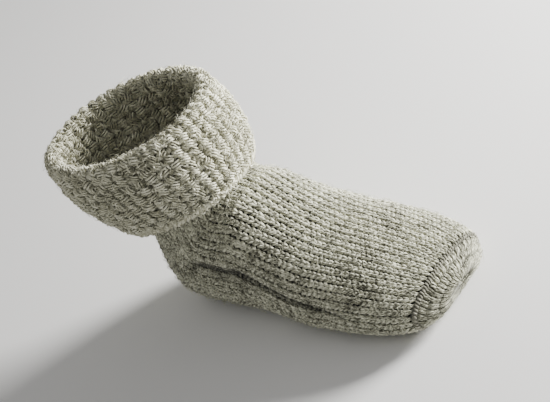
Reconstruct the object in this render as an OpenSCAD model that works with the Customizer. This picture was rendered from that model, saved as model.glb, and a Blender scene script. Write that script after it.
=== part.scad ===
// Knitted slipper sock with a thick turned-down cuff, standing as worn.
// The sole lies on Z = 0, the toe points along +X and the cuff leans back.
// The origin is on the sole's flat underside, halfway along the foot.

/* [Foot] */
// Length from the back of the heel to the tip of the toe
foot_len = 250; // [205:5:300]
// Width across the ball of the foot
ball_w = 102; // [86:2:126]
// Width across the instep
instep_w = 88; // [76:2:108]
// Height of the instep above the floor, in front of the ankle
instep_h = 78; // [64:1:92]
// Height over the ball of the foot
ball_h = 46; // [38:1:54]
// Height over the toes, just before they round off
toe_h = 26; // [23:1:32]
// Distance of the ball of the foot in front of the foot's middle
ball_x = 44; // [36:1:54]
// Distance of the instep's top behind the foot's middle
instep_back = 12.5; // [5:0.5:20]
// Width of the closing band in front of the toe seam
toe_cap_len = 13; // [10:1:18]
// Length of the stretch that bends over the ball of the foot
ball_len = 40; // [34:1:46]

/* [Ankle and heel] */
// Lean of the leg back from upright, in degrees
leg_lean = 24; // [15:1:35]
// Depth of the ankle from front to back
ankle_d = 80; // [68:1:88]
// Width of the ankle from side to side
ankle_w = 76; // [66:1:84]
// Width of the heel
heel_w = 79; // [66:1:92]
// Squareness of the heel's corner
heel_square = 7; // [5:0.5:12]
// Radius of the crease at the front of the ankle
crease_r = 14; // [12:0.5:18]
// Height of the ankle tube at its front
ankle_front_h = 4; // [3:0.5:6]

/* [Cuff] */
// Height of the turned-down layer at its middle
cuff_h = 56; // [44:1:66]
// Half depth of the cuff at its lower edge
cuff_low_d = 50; // [48:0.5:58]
// Half width of the cuff at its lower edge
cuff_low_w = 48; // [46:0.5:58]
// Half depth of the cuff at its fold
cuff_top_d = 62; // [55:0.5:72]
// Half width of the cuff at its fold
cuff_top_w = 58; // [54:0.5:70]
// How far the turned-down layer swells between edge and fold
cuff_bulge = 5; // [0:0.5:7]
// Tilt of the cuff's lower edge, rising to the back, in degrees
edge_tilt = 12; // [10:1:15]
// Tilt of the cuff's fold, rising to the back, in degrees
fold_tilt = 17; // [8:1:20]
// How far the fold is set back from above the lower edge
fold_back = 3; // [0:0.5:4]
// Depth of the bound-off edge
edge_h = 5; // [4:0.5:8]

/* [Fabric] */
// Thickness of the foot's knitted wall
wall = 4.5; // [3:0.25:6]
// Thickness of each layer of the cuff
pile = 6; // [4:0.25:7.5]
// Space between the two layers of the cuff at the fold
layer_gap = 0.5; // [0.3:0.1:1.5]
// Space left between sections that bend against each other
section_gap = 0.3; // [0.2:0.1:0.6]
// Height of the toe seam's ridge above the fabric
seam_proud = 0.6; // [0.3:0.1:1.2]
// Width of the toe seam's ridge
seam_w = 2.4; // [1.6:0.2:3.6]

/* [Hidden] */

heel_x = -foot_len / 2;
toe_x = foot_len / 2;
instep_x = -instep_back;
toe_mid_z = toe_h / 2 + 1;        // height at which the toe closes
toe_square = 3.3;                 // squareness of the toe in plan
toe_round = 5;                    // how late the toe rounds off in height
toe_blunt = 2.2;                  // how bluntly it does so
upper_square = 2.2;               // squareness of the upper half of a section
sole_square = 3.2;                // squareness of its lower half
leg_square = 2.1;                 // squareness of a leg section
heel_back_square = 2.3;           // squareness of the section at the back of the heel
sole_sink = 1.5;                  // what the floor flattens of the sole
rise_curve = 1.3;                 // curve of the instep's rise

sole_edge = 108;                  // angle round a section where the sole starts
flap_edge = 72;                   // angle where the heel flap starts
facet = 9;                        // angle of one facet, which all these angles share
around = 360 / facet;             // facets round a whole section
lining_flare = 0.4;               // share of the lining's height over which it widens to the cuff
ankle_taper = 0.6;                // share of the ankle tube's height over which it narrows
closing_back = 0.05;              // how far the toe's last opening is from its tip
gusset_sliver = 3;                // angle that a gusset is wide at its front end

// pivot that the heel's sections fan about, in front of the ankle's crease
pivot = [instep_x, 0, instep_h + crease_r];
leg_turn = 90 - leg_lean;
leg_up = [-sin(leg_lean), 0, cos(leg_lean)];
leg_back = [-cos(leg_lean), 0, -sin(leg_lean)];
ankle_mid = pivot + leg_back * (crease_r + ankle_d / 2);

// stations run from 0 at the toe to 1 at the instep and 2 behind the heel
s_tip = closing_back / (toe_x - instep_x);
s_cap = station_at(toe_x - toe_cap_len);
s_seam = seam_w / 2 / (toe_x - instep_x);
s_gap = section_gap / (toe_x - instep_x);
ball_front = ball_x + ball_len * 5 / 8;
s_toes = station_at(ball_front);
s_ball = station_at(ball_front - ball_len);
s_gusset = station_at(ball_front - ball_len - 15);
s_sole_end = 1.2;
s_heel_turn = 1.6;

// every section takes its stations from this list, so that neighbours share their edges
STATIONS = concat(
    stations(s_tip, s_cap - s_seam, 5, 2),
    [s_cap],
    stations(s_cap + s_seam, s_toes, 4),
    stations(s_toes + s_gap, s_ball, 4),
    stations(s_ball, s_gusset, 2),
    stations(s_gusset + s_gap, 1, 3),
    stations(1, s_sole_end, 2),
    stations(s_sole_end, s_heel_turn, 4),
    stations(s_heel_turn, 2, 4)
);
same_station = s_gap / 10;

edge_low = cuff_low_d * sin(edge_tilt) - crease_r / 2;    // keeps the edge off the instep
edge_share = edge_h / cuff_h;
ankle_back_h = ankle_front_h + ankle_d * sin(edge_tilt);  // so that its top follows the cuff's edge
lining_low = ((ankle_front_h + ankle_back_h) / 2 - edge_low) / cuff_h;

function lerp(a, b, k) = a + (b - a) * k;
function smooth(k) = k * k * (3 - 2 * k);
function within(k) = min(max(k, 0), 1);
function signed_pow(v, e) = sign(v) * pow(abs(v), e);
function station_at(x) = (toe_x - x) / (toe_x - instep_x);
function stations(from, to, n, ease = 1) = [for (i = [0:n]) lerp(from, to, pow(i / n, ease))];
function angles(from, to, n) = [for (i = [0:n]) lerp(from, to, i / n)];

// the stations from one to another, each listed once
function run(from, to) = [
    for (i = [0:len(STATIONS) - 1])
        if (STATIONS[i] > from - same_station && STATIONS[i] < to + same_station)
            if (i == 0 || STATIONS[i] - STATIONS[max(i, 1) - 1] > same_station)
                STATIONS[i]
];

// a point at angle a of a squared oval between its near and far ends
function oval(near, far, half_w, a, square) =
    (near + far) / 2
    + (near - far) / 2 * signed_pow(cos(a), 2 / square)
    + [0, half_w * signed_pow(sin(a), 2 / square), 0];

function raised(p, low) = [p[0], p[1], max(p[2], low)];

function foot_half_w(x) =
    let (g = within((x - instep_x) / (ball_x - instep_x)))
    lerp(instep_w, ball_w, smooth(g)) / 2;

function foot_top(x) =
    let (
        g = within((x - instep_x) / (ball_x - instep_x)),
        k = max(0, (x - ball_x) / (toe_x - ball_x))
    )
    ball_h + (instep_h - ball_h) * pow(1 - g, rise_curve) + (toe_h - ball_h) * k;

// foot from the toe (station 0) to the instep (station 1)
function foot_point(s, a, inset) =
    let (
        station_x = lerp(toe_x, instep_x, s),
        x = lerp(toe_x - inset, instep_x, s),
        k = max(0, (station_x - ball_x) / (toe_x - ball_x)),
        plan = pow(1 - pow(k, toe_square), 1 / toe_square),
        side = pow(1 - pow(k, toe_round), 1 / toe_blunt),
        top = lerp(toe_mid_z, foot_top(station_x) - inset, side),
        low = lerp(toe_mid_z, inset, side),
        square = cos(a) > 0 ? upper_square : sole_square
    )
    raised(
        oval([x, 0, top], [x, 0, low - sole_sink],
            (foot_half_w(station_x) - inset) * plan, a, square),
        low);

// distance from the pivot to the sole, then round the heel's corner to its back
function heel_reach(k) =
    let (
        t = k * leg_turn,
        down = pivot[2] / cos(t),
        back = (instep_x - heel_x) / max(sin(t), 0.001)
    )
    pow(pow(down, -heel_square) + pow(back, -heel_square), -1 / heel_square);

// heel from the instep (station 1) to its back (station 2)
function heel_point(s, a, inset) =
    let (
        k = s - 1,
        t = k * leg_turn,
        dir = [-sin(t), 0, -cos(t)]
    )
    raised(
        oval(pivot + dir * (crease_r + inset),
            pivot + dir * (heel_reach(k) - inset + sole_sink * (1 - k)),
            lerp(instep_w, heel_w, k) / 2 - inset,
            a, cos(a) > 0 ? upper_square : lerp(sole_square, heel_back_square, k)),
        inset);

function shell_point(s, a, inset) = s <= 1 ? foot_point(s, a, inset) : heel_point(s, a, inset);

// ankle, narrowing from the heel (k = 0) to the plain leg (k = 1)
function ankle_point(k, a, inset) =
    let (narrow = smooth(within(k / ankle_taper)))
    oval(pivot + leg_up * lerp(section_gap, ankle_front_h, k) + leg_back * (crease_r + inset),
        pivot + leg_up * lerp(section_gap, ankle_back_h, k)
            + leg_back * (lerp(heel_reach(1), crease_r + ankle_d, narrow) - inset),
        lerp(heel_w, ankle_w, narrow) / 2 - inset,
        a, cos(a) > 0 ? upper_square : lerp(heel_back_square, leg_square, k));

// directions across and along the cuff at share k of its height
function cuff_tilt(k) = lerp(edge_tilt, fold_tilt, k);
function cuff_back(k) = leg_back * cos(cuff_tilt(k)) + leg_up * sin(cuff_tilt(k));
function cuff_up(k) = leg_up * cos(cuff_tilt(k)) - leg_back * sin(cuff_tilt(k));
function cuff_mid(k) = ankle_mid + leg_up * (edge_low + cuff_h * k) + leg_back * fold_back * k;

// turned-down layer, k = 0 at its lower edge and 1 at the fold
function cuff_point(k, a, inset, rise = 0) =
    let (
        swell = cuff_bulge * sin(180 * k) - inset,
        reach = lerp(cuff_low_d, cuff_top_d, k) + swell,
        mid = cuff_mid(k) + cuff_up(k) * rise
    )
    oval(mid - cuff_back(k) * reach, mid + cuff_back(k) * reach,
        lerp(cuff_low_w, cuff_top_w, k) + swell, a, leg_square);

// standing layer, which widens above the ankle (k = 0) and then lies in the cuff up to the fold
function lining_point(k, a, inset) =
    lerp(ankle_point(1, a, inset),
        cuff_point(lerp(lining_low, 1, k), a, pile + layer_gap + inset),
        smooth(within(k / lining_flare)));

// angle where the upper ends and a gusset or the sole starts
function upper_edge(s) =
    s <= s_gusset ? sole_edge
    : s >= s_heel_turn ? flap_edge
    : lerp(sole_edge - gusset_sliver, flap_edge, (s - s_gusset) / (s_heel_turn - s_gusset));

// closed solid from a list of loops of points, which wraps round if closed is true.
// Each wall is split along the same diagonal as the neighbour's wall that it touches.
module loops_solid(loops, closed) {
    rows = len(loops);
    n = len(loops[0]);
    end = (rows - 1) * n;
    sides = [
        for (i = [0:closed ? end / n : end / n - 1], j = [0:n - 1])
            let (a = i * n, b = (i + 1) % rows * n, m = (j + 1) % n)
            each j == n - 1
                ? [[a + j, b + j, a + m], [b + j, b + m, a + m]]
                : [[a + j, b + j, b + m], [a + j, b + m, a + m]]
    ];
    // the two ends of an open solid, as strips from its outer to its inner side
    ends = closed ? [] : [
        for (j = [0:n / 2 - 2])
            let (k = n - 1 - j)
            each [
                [j, j + 1, k], [j + 1, k - 1, k],
                [end + j, end + k, end + j + 1], [end + j + 1, end + k, end + k - 1]
            ]
    ];
    polyhedron([for (l = loops) each l], concat(sides, ends), convexity = 6);
}

// a section of the fabric from one station to another, between two angles
module panel(from, to, low, high, n) {
    loops_solid([
        for (s = run(from, to)) concat(
            [for (a = angles(low(s), high(s), n)) shell_point(s, a, 0)],
            [for (a = angles(high(s), low(s), n)) shell_point(s, a, wall)])
    ], false);
}

// a section between two fixed angles
module strip(from, to, low, high) {
    panel(from, to, function(s) low, function(s) high, (high - low) / facet);
}

// a section that goes all the way round: section(a) is its loop at angle a
module hoop(section) {
    loops_solid([for (i = [0:around - 1]) section(-i * facet)], true);
}

// loop of a layer between its outer and its inner side
function layer(at, outer, inner) = concat(
    [for (k = at) outer(k)],
    [for (i = [len(at) - 1:-1:0]) inner(at[i])]);

// cuff pieces

module cuff_turnover() {
    color("gainsboro")
        hoop(function(a) layer(stations(edge_share, 1, 6),
            function(k) cuff_point(k, a, 0),
            function(k) cuff_point(k, a, pile)));
}

module cuff_edge() {
    color("lightgray")
        hoop(function(a) [
            for (t = angles(180, 0, 6))
                cuff_point(edge_share * (1 - sin(t)), a, pile / 2 * (1 - cos(t)))
        ]);
}

module cuff_fold() {
    reach = pile + layer_gap / 2;
    color("whitesmoke")
        hoop(function(a) [
            for (t = angles(0, 180, 8)) cuff_point(1, a, reach * (1 - cos(t)), reach * sin(t))
        ]);
}

module cuff_lining() {
    color("silver")
        hoop(function(a) layer(concat(stations(0, lining_flare, 4), stations(0.55, 1, 3)),
            function(k) lining_point(k, a, 0),
            function(k) lining_point(k, a, lerp(wall, pile, k))));
}

// ankle and heel

module ankle_tube() {
    color("darkgray")
        hoop(function(a) layer(stations(0, 1, 5),
            function(k) ankle_point(k, a, 0),
            function(k) ankle_point(k, a, wall)));
}

module instep() {
    color("lightgray")
        panel(s_ball, 2, function(s) -upper_edge(s), function(s) upper_edge(s), 2 * sole_edge / facet);
}

module heel_flap() {
    color("darkgray")
        strip(s_heel_turn, 2, flap_edge, 360 - flap_edge);
}

module heel_cup() {
    color("gray")
        strip(s_sole_end, s_heel_turn, sole_edge, 360 - sole_edge);
}

module gusset_left() {
    color("silver")
        panel(s_gusset + s_gap, s_heel_turn, function(s) upper_edge(s), function(s) sole_edge,
            (sole_edge - flap_edge) / facet);
}

module gusset_right() {
    mirror([0, 1, 0]) gusset_left();
}

module sole() {
    color("gray")
        strip(s_ball, s_sole_end, sole_edge, 360 - sole_edge);
}

// ball and toes

module ball_upper() {
    color("lightgray")
        strip(s_toes + s_gap, s_ball, -sole_edge, sole_edge);
}

module ball_sole() {
    color("gray")
        strip(s_toes + s_gap, s_ball, sole_edge, 360 - sole_edge);
}

module toe_upper() {
    color("lightgray")
        strip(s_cap + s_seam, s_toes, -sole_edge, sole_edge);
}

module toe_sole() {
    color("gray")
        strip(s_cap + s_seam, s_toes, sole_edge, 360 - sole_edge);
}

module toe_seam() {
    color("dimgray")
        hoop(function(a) layer(run(s_cap - s_seam, s_cap + s_seam),
            function(s) shell_point(s, a, s == s_cap ? -seam_proud : 0),
            function(s) shell_point(s, a, wall)));
}

module toe_cap_top() {
    color("darkgray")
        strip(s_tip, s_cap - s_seam, -90, 90);
}

module toe_cap_under() {
    color("darkgray")
        strip(s_tip, s_cap - s_seam, 90, 270);
}

// the last stitches, which close the opening left at the tip
module toe_closing() {
    turn = [for (i = [0:around - 1]) i * facet];
    color("dimgray")
        polyhedron(
            concat([for (a = turn) shell_point(s_tip, a, 0)], [for (a = turn) shell_point(s_tip, a, wall)]),
            concat(
                [[for (i = [0:around - 1]) i]],
                [[for (i = [around - 1:-1:0]) around + i]],
                [for (i = [0:around - 1]) [i, around + i, (i + 1) % around]],
                [for (i = [0:around - 1]) [(i + 1) % around, around + i, around + (i + 1) % around]]),
            convexity = 4);
}

cuff_turnover();
cuff_fold();
cuff_lining();
cuff_edge();
ankle_tube();
instep();
heel_flap();
heel_cup();
gusset_left();
gusset_right();
sole();
ball_upper();
ball_sole();
toe_upper();
toe_sole();
toe_seam();
toe_cap_top();
toe_cap_under();
toe_closing();
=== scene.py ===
"""A knitted slipper sock with a thick turned-down cuff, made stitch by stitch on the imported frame."""

import logging
import math
from dataclasses import dataclass
from enum import Enum
from typing import Any, Callable, Sequence

import bmesh
import bpy
import numpy as np
from mathutils import Matrix, Vector


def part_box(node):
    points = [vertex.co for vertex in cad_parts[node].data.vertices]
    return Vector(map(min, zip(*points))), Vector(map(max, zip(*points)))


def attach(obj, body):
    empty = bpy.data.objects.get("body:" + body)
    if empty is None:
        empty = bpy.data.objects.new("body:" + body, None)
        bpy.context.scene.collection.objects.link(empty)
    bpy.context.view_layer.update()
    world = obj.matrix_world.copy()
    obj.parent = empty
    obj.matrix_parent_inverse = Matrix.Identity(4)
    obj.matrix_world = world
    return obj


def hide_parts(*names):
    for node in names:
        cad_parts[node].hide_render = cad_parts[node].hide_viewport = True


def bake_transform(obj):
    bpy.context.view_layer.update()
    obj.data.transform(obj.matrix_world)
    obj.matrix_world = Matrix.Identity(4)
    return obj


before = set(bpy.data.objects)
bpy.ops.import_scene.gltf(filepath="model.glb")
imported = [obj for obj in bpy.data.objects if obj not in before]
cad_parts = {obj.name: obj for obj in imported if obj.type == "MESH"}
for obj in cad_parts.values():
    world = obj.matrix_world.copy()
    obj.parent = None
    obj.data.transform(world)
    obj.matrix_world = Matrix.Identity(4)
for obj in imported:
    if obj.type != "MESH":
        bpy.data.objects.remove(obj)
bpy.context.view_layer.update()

Array = np.ndarray
Surface = Callable[[Array, Array, Array], Array]
MM = 0.001
FULL_TURN = 360.0
STRAND_UV = "Strand"
log = logging.getLogger("slipper_sock")


class Body(Enum):
    """The frame's moving bodies, for pieces that ride on one of them."""

    FOOT = "foot"
    LEG = "leg"
    TOE = "toe"


class Bend(Enum):
    """Bends of the fabric: the two bodies, and where it starts and stops turning with the second."""

    ANKLE = (Body.FOOT, Body.LEG, (-0.057, 0.0, 0.050), (-0.072, 0.0, 0.118))
    BALL = (Body.FOOT, Body.TOE, (0.033, 0.0, 0.010), (0.067, 0.0, 0.010))


class Slot(Enum):
    """The record's material slots."""

    PILE = "pile_knit"
    FOOT = "foot_knit"
    SEAM = "seam_yarn"


def lerp(a: Any, b: Any, k: Any) -> Any:
    """Returns the value at share k of the way from a to b."""
    return a + (b - a) * k


def smooth(k: Any) -> Array:
    """Returns share k, kept within 0 to 1, with a soft start and end."""
    k = np.clip(k, 0.0, 1.0)
    return k * k * (3.0 - 2.0 * k)


def signed_pow(value: Array, power: Any) -> Array:
    """Returns the power of a value's size, with the value's sign."""
    return np.sign(value) * np.abs(value) ** power


def signed_angle(angle: Any) -> Array:
    """Returns angles in degrees brought to the range from -180 to 180."""
    return (np.asarray(angle, float) + 180.0) % FULL_TURN - 180.0


def oval(near: Array, far: Array, half_w: Array, angle: Array, square: Any) -> Array:
    """Returns points of a squared oval between its near and far ends.

    Args:
        near: Points at angle 0.
        far: Points at angle 180.
        half_w: Half width along Y.
        angle: Angles round it, in degrees.
        square: How square it is, where 2 is an ellipse.

    Returns:
        Points, three numbers each, in millimetres.
    """
    turn = np.radians(angle)
    across = signed_pow(np.cos(turn), 2.0 / square)[..., None]
    points = (near + far) / 2.0 + (near - far) / 2.0 * across
    points[..., 1] += half_w * signed_pow(np.sin(turn), 2.0 / square)
    return points


@dataclass(frozen=True)
class Form:
    """The sock's surfaces in millimetres, with the sizes that the frame was designed to.

    A surface takes a place along it, an angle round it in degrees, 0 on top or in front, and a
    depth below its outside.
    """

    heel_x: float
    toe_x: float
    ball_w: float
    instep_w: float = 88.0
    instep_h: float = 78.0
    instep_x: float = -12.5
    ball_h: float = 46.0
    ball_x: float = 44.0
    toe_h: float = 26.0
    toe_cap_len: float = 13.0
    leg_lean: float = 24.0
    ankle_d: float = 80.0
    ankle_w: float = 76.0
    ankle_front_h: float = 4.0
    ankle_taper: float = 0.6
    heel_w: float = 79.0
    heel_square: float = 7.0
    crease_r: float = 14.0
    cuff_h: float = 56.0
    cuff_low_d: float = 50.0
    cuff_low_w: float = 48.0
    cuff_top_d: float = 62.0
    cuff_top_w: float = 58.0
    cuff_bulge: float = 5.0
    edge_tilt: float = 12.0
    fold_tilt: float = 17.0
    fold_back: float = 3.0
    edge_h: float = 5.0
    wall: float = 4.5
    pile: float = 6.0
    layer_gap: float = 0.5
    lining_flare: float = 0.4
    upper_square: float = 2.2
    sole_square: float = 3.2
    leg_square: float = 2.1
    heel_back_square: float = 2.3
    toe_square: float = 3.3
    toe_round: float = 5.0
    toe_blunt: float = 2.2
    sole_sink: float = 1.5
    rise_curve: float = 1.3
    crease_depth: float = 3.0
    crease_half: float = 4.5
    crease_start: float = 0.36
    crease_fade_in: float = 0.14
    crease_end: float = 1.66
    crease_fade_out: float = 0.2

    CREASE_PLACES = (0.4, 0.6, 0.9, 1.1, 1.45, 1.7)
    CREASE_ANGLES = (-85.0, -80.0, -83.0, -86.0, -85.0, -94.0)

    @property
    def foot_run(self) -> float:
        """Distance along X from the toe to the instep."""
        return self.toe_x - self.instep_x

    @property
    def pivot(self) -> Array:
        """Point in front of the ankle's crease that the heel's sections fan about."""
        return np.array([self.instep_x, 0.0, self.instep_h + self.crease_r])

    @property
    def leg_up(self) -> Array:
        """Direction up the leg."""
        lean = math.radians(self.leg_lean)
        return np.array([-math.sin(lean), 0.0, math.cos(lean)])

    @property
    def leg_back(self) -> Array:
        """Direction from the shin to the calf."""
        lean = math.radians(self.leg_lean)
        return np.array([-math.cos(lean), 0.0, -math.sin(lean)])

    @property
    def ankle_mid(self) -> Array:
        """Middle of the ankle, level with the crease."""
        return self.pivot + self.leg_back * (self.crease_r + self.ankle_d / 2.0)

    @property
    def edge_low(self) -> float:
        """Height of the cuff's lower edge above the ankle's middle, along the leg."""
        return self.cuff_low_d * math.sin(math.radians(self.edge_tilt)) - self.crease_r / 2.0

    @property
    def ankle_back_h(self) -> float:
        """Height of the ankle tube at its back."""
        return self.ankle_front_h + self.ankle_d * math.sin(math.radians(self.edge_tilt))

    def station(self, x: float) -> float:
        """Returns the station of a place along X, 0 at the toe and 1 at the instep."""
        return (self.toe_x - x) / self.foot_run

    def foot(self, s: Array, angle: Array, inset: Array) -> Array:
        """Returns points of the foot between the toe, s = 0, and the instep, s = 1.

        Args:
            s: Stations.
            angle: Angles round it, in degrees.
            inset: Depths below its outside, in millimetres.

        Returns:
            Points in millimetres.
        """
        s = np.clip(s, 1e-4, None)
        station_x = lerp(self.toe_x, self.instep_x, s)
        x = lerp(self.toe_x - inset, self.instep_x, s)
        rise = np.clip((station_x - self.instep_x) / (self.ball_x - self.instep_x), 0.0, 1.0)
        taper = np.clip((station_x - self.ball_x) / (self.toe_x - self.ball_x), 0.0, 1.0)
        plan = (1.0 - taper**self.toe_square) ** (1.0 / self.toe_square)
        side = (1.0 - taper**self.toe_round) ** (1.0 / self.toe_blunt)
        top_z = (self.ball_h + (self.instep_h - self.ball_h) * (1.0 - rise) ** self.rise_curve
                 + (self.toe_h - self.ball_h) * taper)
        middle = self.toe_h / 2.0 + 1.0
        top = lerp(middle, top_z - inset, side)
        low = lerp(middle, inset, side)
        half_w = (lerp(self.instep_w, self.ball_w, smooth(rise)) / 2.0 - inset) * plan
        square = np.where(np.cos(np.radians(angle)) > 0.0, self.upper_square, self.sole_square)
        zero = np.zeros_like(x)
        points = oval(np.stack([x, zero, top], -1), np.stack([x, zero, low - self.sole_sink], -1),
                      half_w, angle, square)
        points[..., 2] = np.maximum(points[..., 2], low)
        return points

    def heel_reach(self, k: Array) -> Array:
        """Returns the distance from the pivot to the sole, then to the back of the heel."""
        turn = np.radians(k * (90.0 - self.leg_lean))
        down = self.pivot[2] / np.cos(turn)
        back = (self.instep_x - self.heel_x) / np.maximum(np.sin(turn), 0.001)
        return (down**-self.heel_square + back**-self.heel_square) ** (-1.0 / self.heel_square)

    def heel(self, s: Array, angle: Array, inset: Array) -> Array:
        """Returns points of the heel between the instep, s = 1, and its back, s = 2.

        Args:
            s: Stations.
            angle: Angles round it, in degrees.
            inset: Depths below its outside, in millimetres.

        Returns:
            Points in millimetres.
        """
        k = np.maximum(s - 1.0, 0.0)
        turn = np.radians(k * (90.0 - self.leg_lean))
        out = np.stack([-np.sin(turn), np.zeros_like(turn), -np.cos(turn)], -1)
        far = self.heel_reach(k) - inset + self.sole_sink * (1.0 - k)
        square = np.where(np.cos(np.radians(angle)) > 0.0, self.upper_square,
                          lerp(self.sole_square, self.heel_back_square, k))
        points = oval(self.pivot + out * (self.crease_r + inset)[..., None],
                      self.pivot + out * far[..., None],
                      lerp(self.instep_w, self.heel_w, k) / 2.0 - inset, angle, square)
        points[..., 2] = np.maximum(points[..., 2], inset)
        return points

    def crease(self, s: Array, angle: Array) -> Array:
        """Returns how much the knitting is drawn in along the crease on the right side.

        Args:
            s: Stations.
            angle: Angles round the foot, in degrees.

        Returns:
            Shares of the crease's depth.
        """
        s = np.asarray(s, float)
        line = np.interp(s, self.CREASE_PLACES, self.CREASE_ANGLES)
        starts = smooth((s - self.crease_start) / self.crease_fade_in)
        ends = smooth((self.crease_end - s) / self.crease_fade_out)
        return starts * ends * np.exp(-((signed_angle(angle) - line) / self.crease_half) ** 2)

    def shell(self, s: Array, angle: Array, inset: Array) -> Array:
        """Returns points of the foot and heel from the toe, s = 0, to the ankle, s = 2.

        Args:
            s: Stations.
            angle: Angles round it, in degrees.
            inset: Depths below its outside, in millimetres.

        Returns:
            Points in millimetres.
        """
        s, angle, inset = np.broadcast_arrays(*(np.asarray(v, float) for v in (s, angle, inset)))
        inset = inset + self.crease_depth * self.crease(s, angle)
        front = self.foot(np.minimum(s, 1.0), angle, inset)
        return np.where((s <= 1.0)[..., None], front, self.heel(s, angle, inset))

    def ankle(self, k: Array, angle: Array, inset: Array) -> Array:
        """Returns points of the ankle between the heel, k = 0, and the plain leg, k = 1.

        Args:
            k: Shares of its height.
            angle: Angles round it, in degrees.
            inset: Depths below its outside, in millimetres.

        Returns:
            Points in millimetres.
        """
        k, angle, inset = np.broadcast_arrays(*(np.asarray(v, float) for v in (k, angle, inset)))
        narrow = smooth(k / self.ankle_taper)
        near = (self.pivot + self.leg_up * (self.ankle_front_h * k)[..., None]
                + self.leg_back * (self.crease_r + inset)[..., None])
        far = lerp(self.heel_reach(np.ones_like(k)), self.crease_r + self.ankle_d, narrow) - inset
        back = (self.pivot + self.leg_up * (self.ankle_back_h * k)[..., None]
                + self.leg_back * far[..., None])
        square = np.where(np.cos(np.radians(angle)) > 0.0, self.upper_square,
                          lerp(self.heel_back_square, self.leg_square, narrow))
        return oval(near, back, lerp(self.heel_w, self.ankle_w, narrow) / 2.0 - inset, angle, square)

    def cuff(self, k: Array, angle: Array, inset: Array, rise: Any = 0.0) -> Array:
        """Returns points of the turned-down layer between its edge, k = 0, and the fold, k = 1.

        Args:
            k: Share of the cuff's height.
            angle: Angle round it.
            inset: Depth below its outside.
            rise: Distance above that place, along the cuff.

        Returns:
            Points in millimetres.
        """
        k, angle, inset, rise = np.broadcast_arrays(
            *(np.asarray(v, float) for v in (k, angle, inset, rise)))
        tilt = np.radians(lerp(self.edge_tilt, self.fold_tilt, k))[..., None]
        back = self.leg_back * np.cos(tilt) + self.leg_up * np.sin(tilt)
        up = self.leg_up * np.cos(tilt) - self.leg_back * np.sin(tilt)
        swell = self.cuff_bulge * np.sin(np.pi * np.clip(k, 0.0, 1.0)) - inset
        reach = lerp(self.cuff_low_d, self.cuff_top_d, k) + swell
        mid = (self.ankle_mid + self.leg_up * (self.edge_low + self.cuff_h * k)[..., None]
               + self.leg_back * (self.fold_back * k)[..., None] + up * rise[..., None])
        return oval(mid - back * reach[..., None], mid + back * reach[..., None],
                    lerp(self.cuff_low_w, self.cuff_top_w, k) + swell, angle, self.leg_square)

    def fold(self, k: Array, angle: Array, inset: Array) -> Array:
        """Returns points of the rolled fold, from the outer layer, k = 0, over to the inner, k = 1.

        Args:
            k: Shares of the half turn.
            angle: Angles round it, in degrees.
            inset: Depths below its outside, in millimetres.

        Returns:
            Points in millimetres.
        """
        radius = self.pile + self.layer_gap / 2.0
        turn = np.pi * np.asarray(k, float)
        reach = radius - np.asarray(inset, float)
        return self.cuff(1.0, angle, radius - reach * np.cos(turn), reach * np.sin(turn))

    def lining(self, k: Array, angle: Array, inset: Array) -> Array:
        """Returns points of the inner layer, from the ankle, k = 0, to the fold, k = 1.

        Args:
            k: Shares of its height.
            angle: Angles round it, in degrees.
            inset: Depths below the side that faces the leg, in millimetres.

        Returns:
            Points in millimetres.
        """
        k, angle, inset = np.broadcast_arrays(*(np.asarray(v, float) for v in (k, angle, inset)))
        depth = lerp(self.wall, self.pile, k) - inset
        low = ((self.ankle_front_h + self.ankle_back_h) / 2.0 - self.edge_low) / self.cuff_h
        flare = smooth(k / self.lining_flare)[..., None]
        outer = self.cuff(lerp(low, 1.0, k), angle, self.pile + self.layer_gap + depth)
        return lerp(self.ankle(np.ones_like(k), angle, depth), outer, flare)


def form_of_frame() -> Form:
    """Returns the sock's form, with its outer sizes read from the frame."""
    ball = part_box("ball_upper")
    return Form(heel_x=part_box("heel_cup")[0].x / MM, toe_x=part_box("toe_closing")[1].x / MM,
                ball_w=(ball[1].y - ball[0].y) / MM)


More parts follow.
